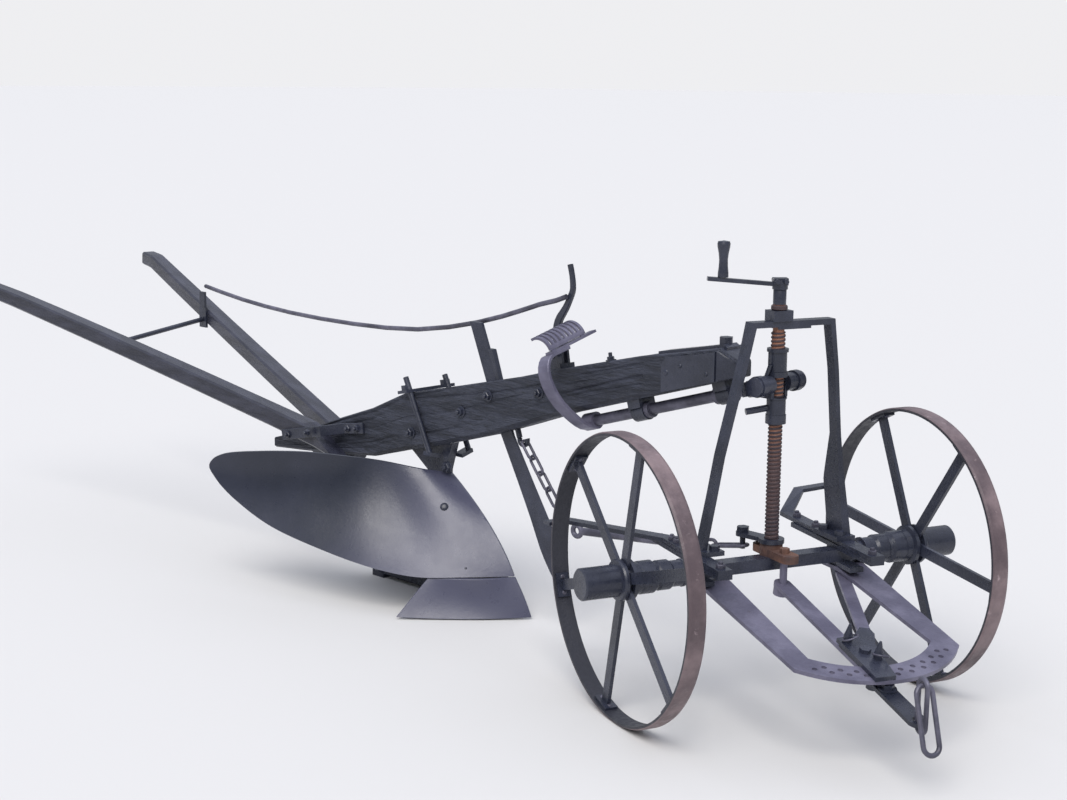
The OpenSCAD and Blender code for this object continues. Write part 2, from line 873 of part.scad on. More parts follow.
// Iron cheeks on both sides of the beam's front end
module beam_shoe() {
    back = -275;
    front = -128;
    plate = 5;
    rim = 8;
    plough_frame()
        for (side = [-1, 1])
            translate([0, side * (beam_half + plate / 2), 0])
                side_plate(-plate / 2, plate / 2, [[front, beam_low_z(front) + 2], [front, beam_top_z(front) - rim],
                    [-193, beam_top_z(-193) - rim], [back + 14, beam_top_z(back + 14) - rim],
                    [back, beam_top_z(back) - rim - 14], [back, beam_low_z(back) + 4]]);
}

// Strap on top of the beam's front end, with its nut
module beam_strap() {
    back = -305;
    front = -116;
    plough_frame() {
        side_plate(-22, 22, concat(
            [for (x = [front, -125, -193, -300, back]) [x, beam_top_z(x) + 6]],
            [for (x = [back, -300, -193, -125, front]) [x, beam_top_z(x)]]));
        translate([-136, 0, beam_top_z(-136) + 5])
            hex(26, 16);
    }
}

// Two bearings under the beam for the levelling shaft
module shaft_bearings() {
    shaft_frame()
        for (x = [-400, -150])
            difference() {
                union() {
                    translate([x, -26, 8])
                        cube([36, 52, shaft_drop - 8]);
                    translate([x, 0, 0])
                        rotate([0, 90, 0])
                            cylinder(h = 36, r = 22);
                }
                translate([x - 1, 0, 0])
                    rotate([0, 90, 0])
                        cylinder(h = 38, r = shaft_r + fit);
                translate([x - 1, -30, shaft_drop])
                    cube([38, 60, 20]);
            }
}

// Middle line of a handle: distance from the screw, sideways, height
function handle_point(side, x) =
    let (t = -x - 1500)
    side < 0
    ? [x, -beam_half - handle_w / 2 - handle_splay * max(t, -60), 370 + 0.226 * t - 0.000011 * t * t]
    : [x, beam_half + handle_w / 2 + handle_splay * max(t, -60), 322 + 0.312 * t + 0.00001 * t * t];

module handle(side) {
    stations = [side < 0 ? -1350 : -1432, -1440, -1600, -1900, -2200, -2500, -2680];
    end = side < 0 ? -2830 : -2740;
    drop = side < 0 ? 4 : 14;
    grip = handle_point(side, end) - [0, 0, drop];
    path = concat([for (x = stations) handle_point(side, x)], [grip]);
    n = len(path) - 1;
    plough_frame()
        difference() {
            sweep(path, [
                for (k = [0 : n])
                    flat_outline(mix(handle_w, handle_w - 12, k / n), mix(handle_h, handle_h - 10, k / n), 5)]);
            translate([beam_end - 40, -beam_half, 200])
                cube([600, beam_w, 300]);
            side_plate(-200, 0, [[-1496, 399], [-1330, 301], [-1200, 301], [-1200, 600], [-1496, 600]]);
        }
}

// Round bar that ties the handles together
module handle_crossbar() {
    left = handle_point(1, -2292);
    right = handle_point(-1, -2250);
    plough_frame()
        rod(right + [0, handle_w / 2 - 2, -4], left - [0, handle_w / 2 + 9.5, 12], 7);
}

// Straps from the beam's sides to the outside of the handles: distance from the screw, height, how far off the beam
STRAP_RIGHT = [[-1545, 353, 0], [-1440, 374, 0], [-1404, 381, 0], [-1358, 390, 2.4], [-1284, 400, 1]];
STRAP_LEFT = [[-1585, 345, 0], [-1440, 322, 0], [-1404, 326, 0], [-1358, 340, 2.4], [-1284, 348, 1]];

module handle_straps() {
    plough_frame()
        for (side = [-1, 1])
            sweep([
                for (r = side < 0 ? STRAP_RIGHT : STRAP_LEFT)
                    [r[0], r[2] > 0 ? side * (beam_half + 3.2 * r[2])
                        : handle_point(side, r[0])[1] + side * (handle_w / 2 + 3.2), r[1]]],
                [flat_outline(6, 28, 1)]);
}

// Cast frog between beam and sole that carries share, moldboard and landside
module frog() {
    plough_frame()
        difference() {
            side_plate(frog_right, frog_right + frog_t, [[-788, 12], [-790, 60], [-806, 92], [-852, 140],
                [-880, 190], [-935, 256], [-1010, 300], [-1008, 330], [-985, beam_low_z(-985)],
                [-992, beam_low_z(-992)], [-1135, beam_low_z(-1135)], [-1072, 318], [-1075, 250],
                [-1110, 160], [-1196, 104], [-1250, 96], [-1250, 12]]);
            side_plate(frog_right - 1, frog_right + frog_t + 1, [[-880, 40], [-1010, 200], [-1050, 150],
                [-1110, 60], [-1180, 40]]);
        }
}

// Points of a plate between its lower and upper edges: row of stations, share of the way up, depth
function plate_point(row, v, depth) =
    let (low = [row[0], row[1], row[2]], high = [row[3], row[4], row[5]], back = unit([-0.55, 0.83, 0.12]))
    mix(low, high, v) + back * (4 * v * (1 - v) * row[6] + depth) + [4 * v * (1 - v) * row[7], 0, 0];

// Curved plate through stations, steps up from edge to edge
module curved_plate(rows, steps, t_low, t_high) {
    loft([
        for (row = rows) concat(
            [for (k = [0 : steps]) plate_point(row, k / steps, 0)],
            [for (k = [steps : -1 : 0]) plate_point(row, k / steps, mix(t_low, t_high, k / steps))])]);
}

module moldboard() {
    plough_frame()
        curved_plate(refined(MOULD, 2), 6, mould_t, mould_t - 1);
}

module share() {
    plough_frame()
        curved_plate(refined(SHARE, 2), 3, 3, mould_t + 1);
}

// Long flat plate that runs along the furrow wall, with its sole
module landside() {
    plough_frame() {
        side_plate(landside_y - landside_t, landside_y, [[-752, 0], [-768, 30], [-830, 92], [-900, 100],
            [-1280, 82], [-1300, 66], [-1300, 0]]);
        side_plate(frog_right, landside_y - landside_t, [[-1252, 0], [-1252, 10], [-1296, 18], [-1296, 0]]);
    }
}

// Brace from the frog up to the tail of the beam
module tail_brace() {
    plough_frame()
        side_plate(-8, 8, [[-1198, 105], [-1249, 98], [-1557, beam_low_z(-1557)], [-1484, beam_low_z(-1484)]]);
}

// Stirrup bolt that pulls the frog against the beam: one leg on each side, the left one further forward
module frog_clamp() {
    lean = 17;
    leg_y = beam_half + 7.5;
    slope = atan2(beam_top_z(-1000) - beam_top_z(-1120), 120);
    plough_frame() {
        for (side = [-1, 1])
            rod([-1095 + side * lean, side * leg_y, 556], [-1003 + side * lean, side * leg_y, 372], 7);
        translate([-1090, 0, beam_top_z(-1090) + 0.2])
            rotate([0, -slope, 0]) {
                linear_extrude(8)
                    polygon([[-2 * lean, -66], [0, -66], [2 * lean, 66], [0, 66]]);
                for (side = [-1, 1])
                    translate([side * lean, side * leg_y, 8])
                        hex(22, 12);
            }
        for (side = [-1, 1])
            flat([-1009 + side * lean, side * (beam_half + 14), 376], [-1009 + side * lean, side * 20, 366], 26, 10);
    }
}

// Middle line of the coulter: distance from the screw, height, width, thickness
COULTER = [[-905, 712, 36, 16], [-794, 450, 38, 14], [-729, 340, 48, 12], [-682, 260, 60, 9],
    [-647, 192, 66, 7], [-630, 150, 48, 5], [-617, 108, 12, 3]];

// Middle and half width of its straight shank at a height, and the gap for the wedge ahead of it
function shank_x(z) = COULTER[0][0] + (COULTER[0][1] - z) * (COULTER[1][0] - COULTER[0][0])
    / (COULTER[0][1] - COULTER[1][1]);
function shank_half(z) = (COULTER[0][2] + (COULTER[0][1] - z) * (COULTER[1][2] - COULTER[0][2])
    / (COULTER[0][1] - COULTER[1][1])) / 2;
function wedge_room(z) = 2.4 + (z - 466) * 0.076;

// Knife that cuts the furrow wall ahead of the share
module coulter() {
    blade = refined([for (k = [1 : len(COULTER) - 1]) COULTER[k]], 2);
    plough_frame()
        loft([
            for (r = concat([COULTER[0]], blade)) [
                [r[0] - r[2] / 2, r[3] / 2, r[1]], [r[0] + r[2] / 2, r[3] / 4, r[1]],
                [r[0] + r[2] / 2, -r[3] / 4, r[1]], [r[0] - r[2] / 2, -r[3] / 2, r[1]]]]);
}

// Wedge between the coulter's shank and the front wall of its mortise
module coulter_wedge() {
    top = 652;
    low = 470;
    plough_frame()
        side_plate(-7, 7, [
            [shank_x(top) + shank_half(top) + 0.3, top], [shank_x(low) + shank_half(low) + 0.3, low],
            [shank_x(low) + shank_half(low) + wedge_room(low) - 0.2, low],
            [shank_x(top) + shank_half(top) + wedge_room(top) - 0.2, top]]);
}

// Middle of the hook's bow and the radius of its wire's middle
hook_at = [-742, 0, 446];
hook_bow = 13;
hook_r = 6;

// Hook under the beam for the draught chain
module draught_hook() {
    stem = [-766, beam_low_z(-766)];
    plough_frame() {
        difference() {
            rod([-772, 0, stem[1] + 30], hook_at + [-hook_bow, 0, 3], 7);
            side_plate(-20, 20, [[-849, beam_low_z(-849)], [-713, beam_low_z(-713)], [-713, 700], [-849, 700]]);
        }
        translate(hook_at)
            rotate([90, 0, 0])
                rotate([0, 0, 170])
                    rotate_extrude(angle = 210, $fn = 32)
                        translate([hook_bow, 0])
                            circle(r = hook_r, $fn = 16);
    }
}

// Chain of long links from the beam's hook towards the draught rod
module draught_chain() {
    wire = 3.5;
    end = [-630, 0, 306];
    count = 4;
    start = hook_at + unit(end - hook_at) * (hook_bow - hook_r - 0.6);
    plough_frame()
        for (k = [0 : count - 1]) {
            p = mix(start, end, k / count);
            q = mix(start, end, (k + 1) / count);
            aim(mix(p, q, 0.5), q)
                rotate([k % 2 == 0 ? 90 : 0, 0, 0])
                    link(norm(q - p) + 0.8, 14, wire);
        }
}

// Lever behind the comb that locks the tilt; it stands clear of the notches
module lever() {
    // Middle line: distance from the screw, height, width
    curve = [[-640, 660, 22], [-649, 700, 22], [-648, 728, 21], [-640, 748, 19], [-622, 772, 16], [-606, 802, 14],
        [-600, 820, 13], [-603, 848, 12], [-610, 874, 12]];
    dense = refined(curve, 2);
    plough_frame()
        sweep([for (q = dense) [q[0], lever_y, q[1]]], [for (q = dense) flat_outline(11, q[2], 2)], [1, 0, 0]);
}

// Bracket on the beam's top whose two cheeks carry the lever's foot
module lever_bracket() {
    gap = 6.2;
    cheek = 7;
    back = -668;
    front = -612;
    plough_frame() {
        side_plate(lever_y - 26, lever_y + 22, [[back, beam_top_z(back) + 0.2], [front, beam_top_z(front) + 0.2],
            [front - 2, beam_top_z(front) + 12], [back + 2, beam_top_z(back) + 12]]);
        for (side = [-1, 1])
            translate([0, lever_y + side * (gap + cheek / 2), 0])
                side_plate(-cheek / 2, cheek / 2, [[back + 6, beam_top_z(back) + 8], [front - 6, beam_top_z(front) + 8],
                    [-628, 700], [-650, 700]]);
    }
}

// Route of the lever's rod: distance from the screw, sideways, height
ROD_PATH = [[-609, 3, 801], [-644, 3, 788], [-698, 5, 774], [-760, 9, 754], [-930, 24, 706], [-1180, 50, 660],
    [-1480, 84, 640], [-1800, 116, 636], [-2060, 138, 647], [-2262, 148, 668]];

// Long rod from the lever to the latch on the left handle
module control_rod() {
    plough_frame()
        sweep(refined(ROD_PATH, 2), [round_outline(rod_r)]);
}

// Latch plate on the left handle that guides the control rod
module latch_plate() {
    p = handle_point(1, -2292);
    plough_frame()
        translate([p[0], p[1] - handle_w / 2 - 7, p[2]]) {
            translate([-17, 0, -36])
                cube([34, 7, 62]);
            translate([-12, -1, 26])
                cube([24, 8, 46]);
        }
}

// Flat ring round the screw with the bolt that holds the first draught link
module draught_ring() {
    base = axle_top + 26.5;
    bolt_x = -76;
    plough_frame()
        difference() {
            union() {
                translate([0, 0, base])
                    cylinder(h = 9, r = screw_r + 12);
                flat([-20, 0, base + 4.5], [bolt_x, 0, base + 4.5], 30, 9);
                translate([bolt_x, 0, base])
                    cylinder(h = 9, r = 15);
                translate([bolt_x, 0, base - 28])
                    cylinder(h = 29, r = 6);
                translate([bolt_x, 0, base + 8])
                    hex(24, 12);
            }
            translate([0, 0, base - 1])
                cylinder(h = 12, r = screw_r + 1);
        }
}

// Two long links between ring and rod, the first lies flat round the bolt
module draught_links() {
    a = [-69.4, 0, 319];
    b = [-231.5, 0, 288];
    plough_frame()
        for (k = [0, 1]) {
            p = mix(a, b, k / 2);
            q = mix(a, b, (k + 1) / 2);
            aim(mix(p, q, 0.5), q)
                rotate([k == 0 ? 90 : 0, 0, 0])
                    link(norm(q - p) + 0.6, 16, 4);
        }
}

// Draught rod with an eye at each end, flat in front and upright behind
module draught_rod() {
    front = [-238, 0, 289];
    rear = [-562, 0, 257];
    eye_r = 17;
    plough_frame() {
        rod(front + [-eye_r, 0, -1.6], rear + [eye_r, 0, 1.6], 9);
        for (k = [0, 1])
            translate(k == 0 ? front : rear)
                rotate([90 * k, 0, 0])
                    rotate_extrude($fn = 32)
                        translate([eye_r - 4, 0])
                            circle(r = 6, $fn = 16);
    }
}

color("#2b2a30") beam();
color("#35343c") beam_shoe();
color("#35343c") beam_strap();
color("#34333b") handle(-1);  // handle_right
color("#34333b") handle(1);  // handle_left
color("#3a3941") handle_crossbar();
color("#3a3941") handle_straps();
color("#35343c") frog();
color("#35343c") frog_clamp();
color("#3d3e4a") moldboard();
color("#45444f") share();
color("#35343c") landside();
color("#35343c") tail_brace();
color("#2f2f36") coulter();
color("#3a3941") coulter_wedge();
color("#3a3941") draught_hook();
color("#55535c") draught_chain();
color("#35343c") shaft_bearings();
color("#34323a") lever();
color("#2f2f36") lever_bracket();
color("#3f3e48") control_rod();
color("#2f2f36") latch_plate();
color("#3f3a42") level_shaft();
color("#5c5868") level_arm();
color("#6a6676") level_comb();
color("#35343c") yoke();
color("#3a3640") nut();
color("#35343c") trunnion_caps();
color("#3a3941") draught_ring();
color("#3f3e48") draught_links();
color("#3f3e48") draught_rod();
color("#3a3941") axle();
color("#2f3038") arch();
color("#55505c") arch_bearing();
color("#7a4a34") screw_foot();
color("#35343c") axle_clamp(-1);  // clamp_right
color("#35343c") axle_clamp(1);  // clamp_left
color("#3f3e48") scraper(-1);  // scraper_right
color("#3f3e48") scraper(1);  // scraper_left
color("#4a4854") quadrant();
color("#4a4854") drawbar();
color("#5c5868") drawbar_strut();
color("#35343c") drawbar_block();
color("#2f2f36") draught_pins();
color("#3a3941") hitch_tongue();
color("#3a3941") hitch_stirrup();
color("#3a3941") hitch_link();
color("#7a4a34") screw();
color("#35343c") crank_arm();
color("#2f2f36") crank_grip();
color("#6e4c44") rim(-1);  // rim_right
color("#3f3e48") spokes(-1, 17);  // spokes_right
color("#3a3941") hub(-1);  // hub_right
color("#6e4c44") rim(1);  // rim_left
color("#3f3e48") spokes(1, -5);  // spokes_left
color("#3a3941") hub(1);  // hub_left
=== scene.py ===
import json
import math

import bpy
import numpy as np
from mathutils import Matrix, Vector


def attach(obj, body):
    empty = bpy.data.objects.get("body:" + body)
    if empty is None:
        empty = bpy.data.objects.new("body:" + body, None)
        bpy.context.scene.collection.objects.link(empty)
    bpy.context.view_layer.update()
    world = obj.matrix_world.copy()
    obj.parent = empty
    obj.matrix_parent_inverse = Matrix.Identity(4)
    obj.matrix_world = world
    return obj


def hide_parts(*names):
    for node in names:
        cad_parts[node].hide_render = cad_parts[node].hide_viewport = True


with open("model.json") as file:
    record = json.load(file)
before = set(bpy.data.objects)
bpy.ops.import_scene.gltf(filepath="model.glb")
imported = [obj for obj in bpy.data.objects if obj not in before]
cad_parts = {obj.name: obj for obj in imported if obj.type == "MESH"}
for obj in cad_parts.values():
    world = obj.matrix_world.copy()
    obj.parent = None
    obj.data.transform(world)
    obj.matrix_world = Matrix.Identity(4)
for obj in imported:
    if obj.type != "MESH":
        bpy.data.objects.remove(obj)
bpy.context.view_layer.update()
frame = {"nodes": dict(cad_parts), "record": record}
nodes = frame["nodes"]


# Rotation by an angle in degrees about X, Y or Z
def turn(degrees, axis):
    return Matrix.Rotation(math.radians(degrees), 4, axis)


# Movement in metres
def shift(x, y, z):
    return Matrix.Translation((x, y, z))


# Frames, in metres and degrees. The plough's stands on the ground under the height screw, with x ahead
# and y to the left; the others belong to the turned forecarriage and to its inclined pieces.
screwFoot = (1.1352, 0.0026, 0)
steerTurn = -20
plough = shift(*screwFoot)
carriage = plough @ turn(steerTurn, "Z")
axle = carriage @ shift(0.0075, 0, 0)
irons = axle @ shift(0, -0.006, 0) @ turn(-5, "Z")
quadrant = axle @ shift(0, 0.016, 0.277) @ turn(-1, "Z") @ shift(0.02, 0, 0) @ turn(12, "Y")
drawbar = quadrant @ shift(0.0233, -0.0153, 0) @ turn(-3, "Z")
wheelSettings = {"aside": 0.354, "radius": 0.3, "spokes": 6}


# Centre of a wheel: side is -1 for the right one and 1 for the left one
def wheelFrame(side):
    return axle @ shift(0, side * wheelSettings["aside"], wheelSettings["radius"])


# A value from low to high is carried to the range "to" and held at its ends; smooth eases it there
def mapRange(tree, socket, low, high, smooth=False, to=(0, 1)):
    node = tree.nodes.new("ShaderNodeMapRange")
    if smooth:
        node.interpolation_type = "SMOOTHSTEP"
    node.inputs["From Min"].default_value = low
    node.inputs["From Max"].default_value = high
    node.inputs["To Min"].default_value = to[0]
    node.inputs["To Max"].default_value = to[1]
    tree.links.new(socket, node.inputs["Value"])
    return node.outputs["Result"]


# Colour = (1 - factor) * a + factor * b; each of the three is a socket or a plain value
def mixColours(tree, factor, a, b):
    node = tree.nodes.new("ShaderNodeMix")
    node.data_type = "RGBA"
    for index, value in ((0, factor), (6, a), (7, b)):
        if isinstance(value, bpy.types.NodeSocket):
            tree.links.new(value, node.inputs[index])
        elif isinstance(value, tuple):
            node.inputs[index].default_value = (*value, 1)
        else:
            node.inputs[index].default_value = value
    return node.outputs[2]


# One vector operation on a socket, with a fixed second vector where the operation has one
def vectorStep(tree, operation, socket, fixed=(0, 0, 0)):
    node = tree.nodes.new("ShaderNodeVectorMath")
    node.operation = operation
    node.inputs[1].default_value = fixed
    tree.links.new(socket, node.inputs[0])
    return node.outputs["Value" if operation == "LENGTH" else "Vector"]


# Distance from an axis through the origin: length of the vector with that axis' own part taken out
def axisDistance(tree, socket, keep):
    return vectorStep(tree, "LENGTH", vectorStep(tree, "MULTIPLY", socket, keep))


# X, Y and Z of a vector socket
def splitAxes(tree, socket):
    node = tree.nodes.new("ShaderNodeSeparateXYZ")
    tree.links.new(socket, node.inputs[0])
    return node.outputs


# Object coordinates that a finish already reads
def coordinates(tree):
    return next(node for node in tree.nodes if node.type == "TEX_COORD").outputs["Object"]


# Colour that reaches a finish's shader
def colourOf(material):
    return material.node_tree.nodes["Principled BSDF"].inputs["Base Color"].links[0].from_socket


# A finish's colour becomes mixColours(factor, a, b)
def recolour(material, factor, a, b):
    tree = material.node_tree
    tree.links.new(mixColours(tree, factor, a, b), tree.nodes["Principled BSDF"].inputs["Base Color"])


# How the noise of 0 to 1 becomes light tone, patches and sheen in every finish
noiseSettings = {"cloudDetail": 5, "lightFrom": 0.35, "lightTo": 0.68,
                 "spotScale": 4.3, "spotDetail": 8, "spotRough": 0.7,
                 "spotEdge": 0.72, "spotReach": 0.4, "spotSoft": 0.13,
                 "sheenScale": 9, "sheenDetail": 4, "sheenFrom": 0.3, "sheenTo": 0.7,
                 "grainDetail": 6, "grainRough": 0.65}


# A finish: two tones in clouds, patches of a third tone, roughness between two values and a fine bump.
# Patches lie where the spot noise is above spotEdge - spotReach * patches.
def makeFinish(name, settings):
    material = bpy.data.materials.new(name)
    material.use_nodes = True
    tree = material.node_tree
    shader = tree.nodes["Principled BSDF"]
    place = tree.nodes.new("ShaderNodeTexCoord")
    mapping = tree.nodes.new("ShaderNodeMapping")
    mapping.inputs["Scale"].default_value = settings.get("stretch", (1, 1, 1))
    tree.links.new(place.outputs["Object"], mapping.inputs["Vector"])

    # Noise of 0 to 1 over the object's own coordinates, stretched along the grain
    def noise(scale, detail, rough=0.6):
        node = tree.nodes.new("ShaderNodeTexNoise")
        node.inputs["Scale"].default_value = scale
        node.inputs["Detail"].default_value = detail
        node.inputs["Roughness"].default_value = rough
        tree.links.new(mapping.outputs["Vector"], node.inputs["Vector"])
        return node.outputs["Fac"]

    clouds = noise(settings["cloud"], noiseSettings["cloudDetail"])
    light = mapRange(tree, clouds, noiseSettings["lightFrom"], noiseSettings["lightTo"], smooth=True)
    tone = mixColours(tree, light, settings["dark"], settings["light"])
    spotScale = settings["cloud"] * noiseSettings["spotScale"]
    spots = noise(spotScale, noiseSettings["spotDetail"], noiseSettings["spotRough"])
    edge = noiseSettings["spotEdge"] - noiseSettings["spotReach"] * settings["patches"]
    patches = mapRange(tree, spots, edge, edge + noiseSettings["spotSoft"], smooth=True)
    tone = mixColours(tree, patches, tone, settings["patch"])
    tree.links.new(tone, shader.inputs["Base Color"])
    sheen = noise(settings["cloud"] * noiseSettings["sheenScale"], noiseSettings["sheenDetail"])
    roughness = mapRange(tree, sheen, noiseSettings["sheenFrom"], noiseSettings["sheenTo"],
                         smooth=True, to=settings["rough"])
    tree.links.new(roughness, shader.inputs["Roughness"])
    shader.inputs["Metallic"].default_value = settings.get("metal", 0)
    bump = tree.nodes.new("ShaderNodeBump")
    bump.inputs["Distance"].default_value = settings["relief"]
    bump.inputs["Strength"].default_value = 1
    grain = noise(settings["grain"], noiseSettings["grainDetail"], noiseSettings["grainRough"])
    tree.links.new(grain, bump.inputs["Height"])
    tree.links.new(bump.outputs["Normal"], shader.inputs["Normal"])
    return material


# Linear colours; cloud and grain are noise scales per metre, relief is the bump's height in metres
finishes = {
    "beam_wood": {
        "dark": (0.015, 0.018, 0.030), "light": (0.046, 0.052, 0.078), "patch": (0.009, 0.010, 0.014),
        "stretch": (1, 9, 9), "cloud": 7, "patches": 0.45, "rough": (0.38, 0.68),
        "grain": 26, "relief": 0.006},
    "handle_wood": {
        "dark": (0.015, 0.016, 0.027), "light": (0.034, 0.036, 0.056), "patch": (0.070, 0.062, 0.070),
        "stretch": (1, 6, 6), "cloud": 6, "patches": 0.15, "rough": (0.24, 0.38),
        "grain": 22, "relief": 0.0015},
    "slate_paint": {
        "dark": (0.016, 0.019, 0.032), "light": (0.034, 0.038, 0.060), "patch": (0.060, 0.050, 0.062),
        "cloud": 9, "patches": 0.2, "rough": (0.22, 0.38), "grain": 160, "relief": 0.0006},
    "mould_iron": {
        "dark": (0.013, 0.016, 0.028), "light": (0.022, 0.025, 0.042), "patch": (0.035, 0.036, 0.052),
        "cloud": 4, "patches": 0.05, "rough": (0.27, 0.33), "grain": 120, "relief": 0.0003},
    "worn_iron": {
        "dark": (0.105, 0.100, 0.150), "light": (0.180, 0.172, 0.240), "patch": (0.085, 0.066, 0.078),
        "cloud": 12, "patches": 0.2, "rough": (0.32, 0.48), "grain": 150, "relief": 0.0007,
        "metal": 0.25},
    "bare_iron": {
        "dark": (0.050, 0.049, 0.070), "light": (0.130, 0.126, 0.172), "patch": (0.120, 0.075, 0.062),
        "cloud": 14, "patches": 0.25, "rough": (0.32, 0.5), "grain": 170, "relief": 0.0008,
        "metal": 0.2},
    "rusty_iron": {
        "dark": (0.040, 0.027, 0.030), "light": (0.160, 0.078, 0.052), "patch": (0.320, 0.150, 0.080),
        "cloud": 11, "patches": 0.26, "rough": (0.55, 0.8), "grain": 140, "relief": 0.0012},
    "tyre_iron": {
        "dark": (0.085, 0.060, 0.068), "light": (0.225, 0.165, 0.172), "patch": (0.360, 0.280, 0.290),
        "cloud": 8, "patches": 0.26, "rough": (0.38, 0.62), "grain": 130, "relief": 0.0010},
}
materials = {name: makeFinish(name, settings) for name, settings in finishes.items()}
slotOf = {row["node"]: row["material_slot"] for row in frame["record"]["subparts"]}

# The solids: finish, softened edges and smooth shading under 32 degrees
edgeSettings = {"width": 0.0011, "segments": 2, "angle": 32}
for name, solid in nodes.items():
    solid.data.materials.clear()
    solid.data.materials.append(materials[slotOf[name]])
    solid.data.polygons.foreach_set("use_smooth", [True] * len(solid.data.polygons))
    solid.data.set_sharp_from_angle(angle=math.radians(edgeSettings["angle"]))
    bevel = solid.modifiers.new("softEdges", "BEVEL")
    bevel.width = edgeSettings["width"]
    bevel.segments = edgeSettings["segments"]
    bevel.limit_method = "ANGLE"
    bevel.angle_limit = math.radians(edgeSettings["angle"])
    bevel.use_clamp_overlap = True
    bevel.harden_normals = True
print("finishes on", len(nodes), "solids")


# An object from vertex and face arrays that rides on a body and takes a finish
def makePiece(name, body, slotName, vertices, faces, replaced=(), smoothAngle=35):
    mesh = bpy.data.meshes.new(name)
    mesh.from_pydata(np.asarray(vertices, float).tolist(), [], [list(face) for face in faces])
    mesh.validate()
    mesh.polygons.foreach_set("use_smooth", [True] * len(mesh.polygons))
    mesh.set_sharp_from_angle(angle=math.radians(smoothAngle))
    piece = bpy.data.objects.new(name, mesh)
    bpy.context.scene.collection.objects.link(piece)
    piece.data.materials.append(materials[slotName])
    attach(piece, body)
    if replaced:
        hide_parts(*replaced)
    return piece


# Quads between the rows of a grid of rings; rows run along a piece, columns close round it
def ringFaces(rows, columns):
    i, j = np.meshgrid(np.arange(rows - 1), np.arange(columns), indexing="ij")
    a = i * columns + j
    b = i * columns + (j + 1) % columns
    return np.stack([a, b, b + columns, a + columns], -1).reshape(-1, 4).tolist()


# The flat ends of such a grid
def endFaces(rows, columns):
    last = (rows - 1) * columns
    return [list(range(columns - 1, -1, -1)), list(range(last, last + columns))]


# Points through a matrix: rotation * point + translation
def placed(matrix, points):
    points = np.asarray(points, float).reshape(-1, 3)
    m = np.array(matrix)
    return points @ m[:3, :3].T + m[:3, 3]


# Solid of so many sides about local Z; profile rows are height and radius in metres
def turned(profile, matrix, sides):
    profile = np.asarray(profile, float)
    angle = np.arange(sides) * 2 * np.pi / sides
    ring = np.stack([np.cos(angle), np.sin(angle)], 1)
    xy = profile[:, 1][:, None, None] * ring[None]
    z = np.repeat(profile[:, 0][:, None, None], sides, 1)
    points = np.concatenate([xy, z], -1).reshape(-1, 3)
    return placed(matrix, points), ringFaces(len(profile), sides) + endFaces(len(profile), sides)


# Shapes that become one piece; faces count on from the points that are there
class Batch:
    def __init__(self):
        self.points = []
        self.faces = []
        self.count = 0

    def add(self, points, faces):
        self.points.append(np.asarray(points))
        self.faces += [[k + self.count for k in face] for face in faces]
        self.count += len(points)

    def piece(self, name, body, slotName, **options):
        return makePiece(name, body, slotName, np.concatenate(self.points), self.faces, **options)


# Matrix with local Z along an axis given in a frame, at a place in millimetres of that frame
def facing(base, place, axis):
    z = Vector(axis).normalized()
    quat = Vector((0, 0, 1)).rotation_difference(z)
    return base @ Matrix.Translation(Vector(place) / 1000) @ quat.to_matrix().to_4x4()


# Sizes in millimetres: across flats, height, end of the bolt above it, radius of the washer under it
nutSizes = {"beam": (19, 9, 6, 14), "strap": (17, 8, 6, 0), "hook": (15, 7, 9, 12), "small": (13, 6, 4, 0),
            "frog": (22, 9, 6, 14), "clamp": (17, 8, 5, 0), "clampSmall": (15, 7, 4, 0)}
# Washer and bolt chamfer in metres; the rest are shares of the nut's height and radii, and side counts
nutShape = {"washer": 0.0026, "washerEdge": 0.0022, "washerChamfer": 0.0006, "washerSides": 28,
            "corner": 0.82, "taper": 0.84, "sides": 6,
            "bolt": 0.29, "boltTaper": 0.8, "boltChamfer": 0.001, "boltSides": 16}
domeShape = {"rings": 5, "sides": 16, "tip": 1e-5}


# Hexagon nut with a chamfered top, its bolt's end and a washer; radius = across flats / sqrt(3)
def addNut(batch, matrix, size, spin):
    across, height, stub, washer = nutSizes[size]
    r = across / math.sqrt(3) / 1000
    h = height / 1000
    base = 0
    if washer:
        w = washer / 1000
        rows = [[0, w], [nutShape["washerEdge"], w], [nutShape["washer"], w - nutShape["washerChamfer"]]]
        batch.add(*turned(rows, matrix, nutShape["washerSides"]))
        base = nutShape["washer"]
    m = matrix @ turn(spin, "Z")
    rows = [[base, r], [base + h * nutShape["corner"], r], [base + h, r * nutShape["taper"]]]
    batch.add(*turned(rows, m, nutShape["sides"]))
    b = across / 1000 * nutShape["bolt"]
    top = base + h + stub / 1000
    chamfer = nutShape["boltChamfer"]
    rows = [[base + h - chamfer, b], [top - chamfer, b], [top, b * nutShape["boltTaper"]]]
    batch.add(*turned(rows, m, nutShape["boltSides"]))


# Domed rivet or bolt head: height h sin(t), radius r cos(t), in millimetres
def addDome(batch, matrix, r, h):
    t = np.linspace(0, np.pi / 2, domeShape["rings"])
    profile = np.stack([h * np.sin(t), r * np.cos(t) + domeShape["tip"]], 1) / 1000
    batch.add(*turned(profile, matrix, domeShape["sides"]))


